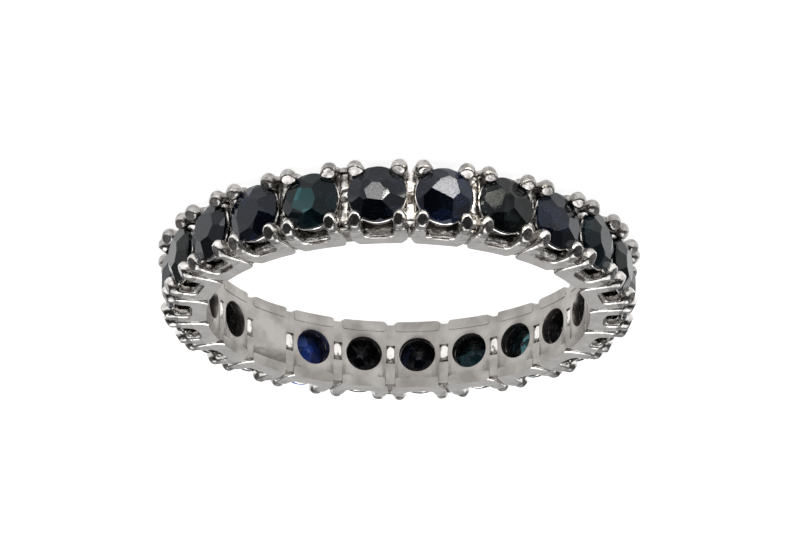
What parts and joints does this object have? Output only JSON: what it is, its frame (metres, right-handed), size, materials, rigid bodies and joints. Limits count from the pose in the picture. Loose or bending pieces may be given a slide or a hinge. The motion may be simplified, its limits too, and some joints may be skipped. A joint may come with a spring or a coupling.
{
  "type": "sapphire eternity ring",
  "caption": "Full eternity ring: a closed row of square four-prong settings with windows in their sides and round open backs, each holding a round faceted sapphire.",
  "frame": {"origin": "middle of the finger hole, halfway along the finger", "axes": "+Z along the finger hole's axis; the ring lies on its side with its side plates down; setting 1 faces -Y and the numbers grow towards -X"},
  "size_m": [0.0214, 0.0214, 0.0032],
  "materials": {
    "white_metal": "polished white metal, slightly tarnished, with cast grain between the settings",
    "sapphire_slate": "cut slate blue sapphire, polished with light scratches",
    "sapphire_navy": "cut navy blue sapphire, polished with light scratches",
    "sapphire_teal": "cut dark teal sapphire, polished with light scratches",
    "sapphire_ink": "cut blue black sapphire, polished with light scratches",
    "sapphire_royal": "cut royal blue sapphire, polished with light scratches"
  },
  "bodies": {
    "root": {"band": "white_metal", "stone_01": "sapphire_slate", "stone_02": "sapphire_navy", "stone_03": "sapphire_ink", "stone_04": "sapphire_navy", "stone_05": "sapphire_teal", "stone_06": "sapphire_ink", "stone_07": "sapphire_navy", "stone_08": "sapphire_ink", "stone_09": "sapphire_slate", "stone_10": "sapphire_teal", "stone_11": "sapphire_teal", "stone_12": "sapphire_navy", "stone_13": "sapphire_slate", "stone_14": "sapphire_royal", "stone_15": "sapphire_navy", "stone_16": "sapphire_ink", "stone_17": "sapphire_ink", "stone_18": "sapphire_slate", "stone_19": "sapphire_ink", "stone_20": "sapphire_slate", "stone_21": "sapphire_navy", "stone_22": "sapphire_teal"}
  },
  "joints": []
}
